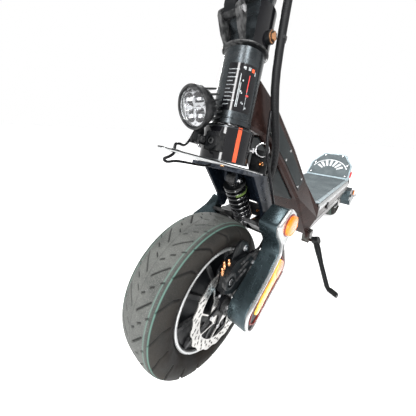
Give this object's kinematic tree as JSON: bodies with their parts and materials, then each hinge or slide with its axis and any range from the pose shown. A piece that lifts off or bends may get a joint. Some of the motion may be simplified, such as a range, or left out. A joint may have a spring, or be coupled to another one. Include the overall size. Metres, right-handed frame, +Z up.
{
  "type": "electric kick scooter",
  "caption": "Folding electric kick scooter with wide pneumatic tyres, leading-link front suspension, disc brakes, round headlight, slab neck and a deck with a raised rear footrest.",
  "frame": {"origin": "On the ground, midway between the wheels on the centre plane", "axes": "+Z up, +Y to the rear of the scooter, +X to the rider's left"},
  "size_m": [0.64, 1.195, 1.2115],
  "materials": {
    "satin": "satin black powder coat",
    "gloss": "gloss black paint",
    "black": "semi-matt black anodised metal",
    "arm": "dark blue-grey satin paint",
    "panel": "dark teal-black paint",
    "steel": "brushed steel",
    "grey": "light grey cast aluminium",
    "plastic": "textured black plastic",
    "rubber": "dusty black tyre rubber",
    "grip": "soft black rubber",
    "mat": "blue-grey moulded grip mat",
    "plate": "pale blue-grey painted plate",
    "battery": "blue shrink wrap",
    "orange": "orange plastic",
    "red": "red lens",
    "glass": "clear lens",
    "cable": "black cable sheath"
  },
  "bodies": {
    "frame": {"head_tube": "satin", "neck_beam": "satin", "neck_cover": "panel", "deck_chassis": "satin", "battery_pack": "battery", "controller_box": "grey", "deck_plate": "plate", "deck_mat": "mat", "rear_footrest": "plate", "tail_light": "red", "headset_bearing_upper": "steel", "headset_bearing_lower": "steel"},
    "fork": {"steerer_tube": "steel", "fork_crown": "gloss", "fork_yoke": "black", "fork_beak_plate": "black", "horn": "grey", "headlight_bracket": "black", "fold_base": "black", "lamp_cable": "cable", "front_brake_hose": "cable", "cable_bundle": "cable"},
    "headlight": {"headlight_housing": "black", "headlight_lens": "glass"},
    "front_arms": {"front_arm_left": "arm", "front_arm_right": "arm", "front_arm_bridge": "black", "front_axle": "steel", "front_caliper": "black"},
    "front_wheel": {"front_tyre": "rubber", "front_hub_motor": "black", "front_brake_disc": "steel"},
    "front_shock_upper": {"front_shock_body": "black", "front_shock_spring": "black"},
    "front_shock_lower": {"front_shock_rod": "steel"},
    "stem": {"stem_tube": "satin", "handlebar": "satin", "handlebar_clamp": "black", "grip_left": "grip", "grip_right": "grip", "brake_perch_left": "black", "brake_perch_right": "black", "display_unit": "plastic", "switch_pod": "plastic"},
    "latch": {"fold_latch": "black"},
    "brake_lever_l": {"brake_lever_left": "black"},
    "brake_lever_r": {"brake_lever_right": "black"},
    "throttle": {"throttle_lever": "plastic"},
    "horn_push": {"horn_button": "orange"},
    "kickstand": {"kickstand_leg": "black"},
    "charge_cap": {"charge_port_cap": "plastic"},
    "rear_arms": {"rear_arm": "arm", "rear_axle": "steel", "rear_fender": "plastic", "rear_caliper": "black"},
    "rear_wheel": {"rear_tyre": "rubber", "rear_hub_motor": "black", "rear_brake_disc": "steel"},
    "rear_shock_front": {"rear_shock_body": "black"},
    "rear_shock_back": {"rear_shock_rod": "steel"}
  },
  "joints": [
    {"name": "steering", "type": "hinge", "parent": "frame", "child": "fork", "pos_m": [0, -0.4224, 0.397], "axis": [0, 0.2079, 0.9781], "range_deg": [-55, 55], "deforming": ["cable_bundle", "front_brake_hose"]},
    {"name": "headlight_tilt", "type": "hinge", "parent": "fork", "child": "headlight", "pos_m": [-0.008, -0.484, 0.378], "axis": [1, 0, 0], "range_deg": [-2, 18]},
    {"name": "front_suspension", "type": "hinge", "parent": "fork", "child": "front_arms", "pos_m": [0, -0.364, 0.247], "axis": [-1, 0, 0], "range_deg": [0, 10.5], "stiffness_Nm_per_rad": 260, "springref_deg": -5.16, "deforming": ["front_brake_hose"]},
    {"name": "front_wheel_spin", "type": "hinge", "parent": "front_arms", "child": "front_wheel", "pos_m": [0, -0.47, 0.1275], "axis": [1, 0, 0], "continuous": true},
    {"name": "front_shock_swing", "type": "hinge", "parent": "fork", "child": "front_shock_upper", "pos_m": [0, -0.402, 0.31], "axis": [1, 0, 0], "range_deg": [-5, 5]},
    {"name": "front_shock_travel", "type": "slide", "parent": "front_shock_upper", "child": "front_shock_lower", "axis": [0, -0.4741, 0.8805], "range_m": [-0.001, 0.012], "deforming": ["front_shock_spring"]},
    {"name": "stem_fold", "type": "hinge", "parent": "fork", "child": "stem", "pos_m": [0, -0.39579, 0.5222], "axis": [-1, 0, 0], "range_deg": [0, 93]},
    {"name": "latch_turn", "type": "hinge", "parent": "fork", "child": "latch", "pos_m": [0, -0.43787, 0.54546], "axis": [1, 0, 0], "range_deg": [0, 70]},
    {"name": "brake_left_pull", "type": "hinge", "parent": "stem", "child": "brake_lever_l", "pos_m": [0.16, -0.28933, 1.18659], "axis": [0, 0.2079, 0.9781], "range_deg": [0, 14], "stiffness_Nm_per_rad": 1.2, "springref_deg": -8.59},
    {"name": "brake_right_pull", "type": "hinge", "parent": "stem", "child": "brake_lever_r", "pos_m": [-0.16, -0.28933, 1.18659], "axis": [0, -0.2079, -0.9781], "range_deg": [0, 14], "stiffness_Nm_per_rad": 1.2, "springref_deg": -8.59},
    {"name": "throttle_press", "type": "hinge", "parent": "stem", "child": "throttle", "pos_m": [0, -0.25607, 1.17952], "axis": [1, 0, 0], "range_deg": [0, 35], "stiffness_Nm_per_rad": 0.25, "springref_deg": -17.19},
    {"name": "horn_press", "type": "slide", "parent": "stem", "child": "horn_push", "axis": [0, -0.9781, 0.2079], "range_m": [0, 0.002], "stiffness_N_per_m": 400, "springref_m": -0.001},
    {"name": "kickstand_fold", "type": "hinge", "parent": "frame", "child": "kickstand", "pos_m": [0.092, -0.12, 0.117], "axis": [0.8937, -0.0939, 0.4386], "range_deg": [0, 97]},
    {"name": "charge_cap_open", "type": "hinge", "parent": "frame", "child": "charge_cap", "pos_m": [0.0898, -0.05, 0.209], "axis": [0, -1, 0], "range_deg": [0, 120]},
    {"name": "rear_suspension", "type": "hinge", "parent": "frame", "child": "rear_arms", "pos_m": [0, 0.322, 0.155], "axis": [1, 0, 0], "range_deg": [0, 12], "stiffness_Nm_per_rad": 380, "springref_deg": -5.16},
    {"name": "rear_wheel_spin", "type": "hinge", "parent": "rear_arms", "child": "rear_wheel", "pos_m": [0, 0.47, 0.1275], "axis": [1, 0, 0], "continuous": true},
    {"name": "rear_shock_swing", "type": "hinge", "parent": "frame", "child": "rear_shock_front", "pos_m": [0, 0.192, 0.183], "axis": [1, 0, 0], "range_deg": [-5, 5]},
    {"name": "rear_shock_travel", "type": "slide", "parent": "rear_shock_front", "child": "rear_shock_back", "axis": [0, -0.9996, 0.0298], "range_m": [-0.001, 0.012]}
  ],
  "couplings": [
    {"joint": "front_shock_swing", "follows": "front_suspension", "ratio": -0.37686},
    {"joint": "front_shock_travel", "follows": "front_suspension", "m_per_rad": 0.006126},
    {"joint": "rear_shock_swing", "follows": "rear_suspension", "ratio": 0.00576},
    {"joint": "rear_shock_travel", "follows": "rear_suspension", "m_per_rad": 0.024275}
  ]
}
